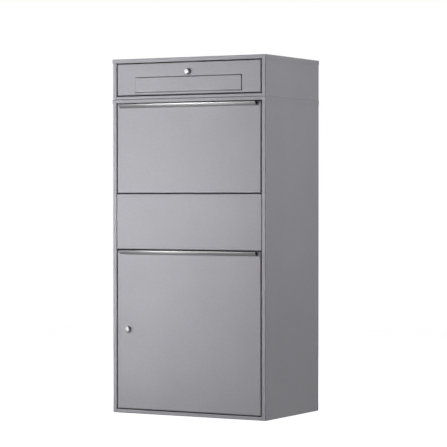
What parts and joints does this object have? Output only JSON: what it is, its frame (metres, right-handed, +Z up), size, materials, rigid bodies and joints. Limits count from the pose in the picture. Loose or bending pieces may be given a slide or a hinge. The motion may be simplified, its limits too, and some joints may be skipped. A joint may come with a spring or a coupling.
{
  "type": "parcel drop box",
  "caption": "Free-standing steel parcel drop box: a letter box with a slot flap and drop-down door stands on a parcel box with a tilting drop flap and a lockable collection door.",
  "frame": {"origin": "on the floor, under the middle of the cabinet body (door handles not counted)", "axes": "+Z up, front faces -Y, +X to the right of someone facing the front"},
  "size_m": [0.4674, 0.32, 0.95],
  "materials": {
    "powder_coat": "silver-grey metallic powder coat, fine texture",
    "brushed_stainless": "lengthwise brushed stainless steel",
    "lock_chrome": "polished chrome plate",
    "zinc_plated_steel": "bright zinc plate",
    "black_plastic": "matt black moulded plastic",
    "black_rubber": "matt black rubber"
  },
  "bodies": {
    "cabinet": {"parcel_box_right_side": "powder_coat", "parcel_box_left_side": "powder_coat", "parcel_box_back": "powder_coat", "parcel_box_base": "powder_coat", "parcel_box_lid": "powder_coat", "blank_front_panel": "powder_coat", "mail_box_right_side": "powder_coat", "mail_box_left_side": "powder_coat", "mail_box_back": "powder_coat", "mail_box_floor": "powder_coat", "mail_box_roof": "powder_coat", "back_panel_rivets": "zinc_plated_steel", "module_bolts": "zinc_plated_steel", "module_nuts": "zinc_plated_steel", "mail_lock_strike": "powder_coat", "mail_door_pivot_pins": "zinc_plated_steel", "mail_door_spacers": "black_plastic", "parcel_flap_pivot_pins": "zinc_plated_steel", "parcel_flap_spacers": "black_plastic", "parcel_door_pivot_pins": "zinc_plated_steel", "parcel_door_spacers": "black_plastic", "flap_stop_brackets": "powder_coat", "flap_stop_buffers": "black_rubber", "door_stop_brackets": "powder_coat", "door_stop_buffers": "black_rubber", "tray_stop_studs": "zinc_plated_steel", "tray_stop_sleeves": "black_rubber"},
    "mail_door": {"mail_door": "powder_coat", "slot_flap_brackets": "powder_coat", "slot_flap_rod": "zinc_plated_steel", "slot_stop_strip": "powder_coat", "mail_lock_housing": "lock_chrome", "mail_lock_nut": "zinc_plated_steel"},
    "slot_flap": {"slot_flap": "powder_coat"},
    "mail_lock": {"mail_lock_barrel": "lock_chrome", "mail_lock_cam": "zinc_plated_steel", "mail_lock_cam_screw": "zinc_plated_steel"},
    "parcel_flap": {"parcel_flap": "powder_coat", "parcel_flap_handle": "brushed_stainless", "parcel_flap_handle_caps": "black_plastic", "parcel_flap_handle_screws": "zinc_plated_steel", "right_flap_cheek": "powder_coat", "left_flap_cheek": "powder_coat", "parcel_tray": "powder_coat"},
    "parcel_door": {"parcel_door": "powder_coat", "parcel_door_stiffener": "powder_coat", "parcel_door_handle": "brushed_stainless", "parcel_door_handle_caps": "black_plastic", "parcel_door_handle_screws": "zinc_plated_steel", "parcel_lock_housing": "lock_chrome", "parcel_lock_nut": "zinc_plated_steel"},
    "parcel_lock": {"parcel_lock_barrel": "lock_chrome", "parcel_lock_cam": "zinc_plated_steel", "parcel_lock_cam_screw": "zinc_plated_steel"}
  },
  "joints": [
    {"name": "mail_door_drop", "type": "hinge", "parent": "cabinet", "child": "mail_door", "pos_m": [0, -0.1495, 0.8575], "axis": [1, 0, 0], "range_deg": [0, 90]},
    {"name": "slot_flap_lift", "type": "hinge", "parent": "mail_door", "child": "slot_flap", "pos_m": [0, -0.1505, 0.895], "axis": [-1, 0, 0], "range_deg": [0, 75]},
    {"name": "mail_lock_turn", "type": "hinge", "parent": "mail_door", "child": "mail_lock", "pos_m": [0, -0.1535, 0.912], "axis": [0, 1, 0], "range_deg": [0, 90]},
    {"name": "parcel_flap_tilt", "type": "hinge", "parent": "cabinet", "child": "parcel_flap", "pos_m": [0, -0.1495, 0.596], "axis": [1, 0, 0], "range_deg": [0, 50]},
    {"name": "parcel_door_swing", "type": "hinge", "parent": "cabinet", "child": "parcel_door", "pos_m": [0.213, -0.1495, 0.225], "axis": [0, 0, 1], "range_deg": [0, 90]},
    {"name": "parcel_lock_turn", "type": "hinge", "parent": "parcel_door", "child": "parcel_lock", "pos_m": [-0.184, -0.1535, 0.225], "axis": [0, 1, 0], "range_deg": [0, 90]}
  ]
}
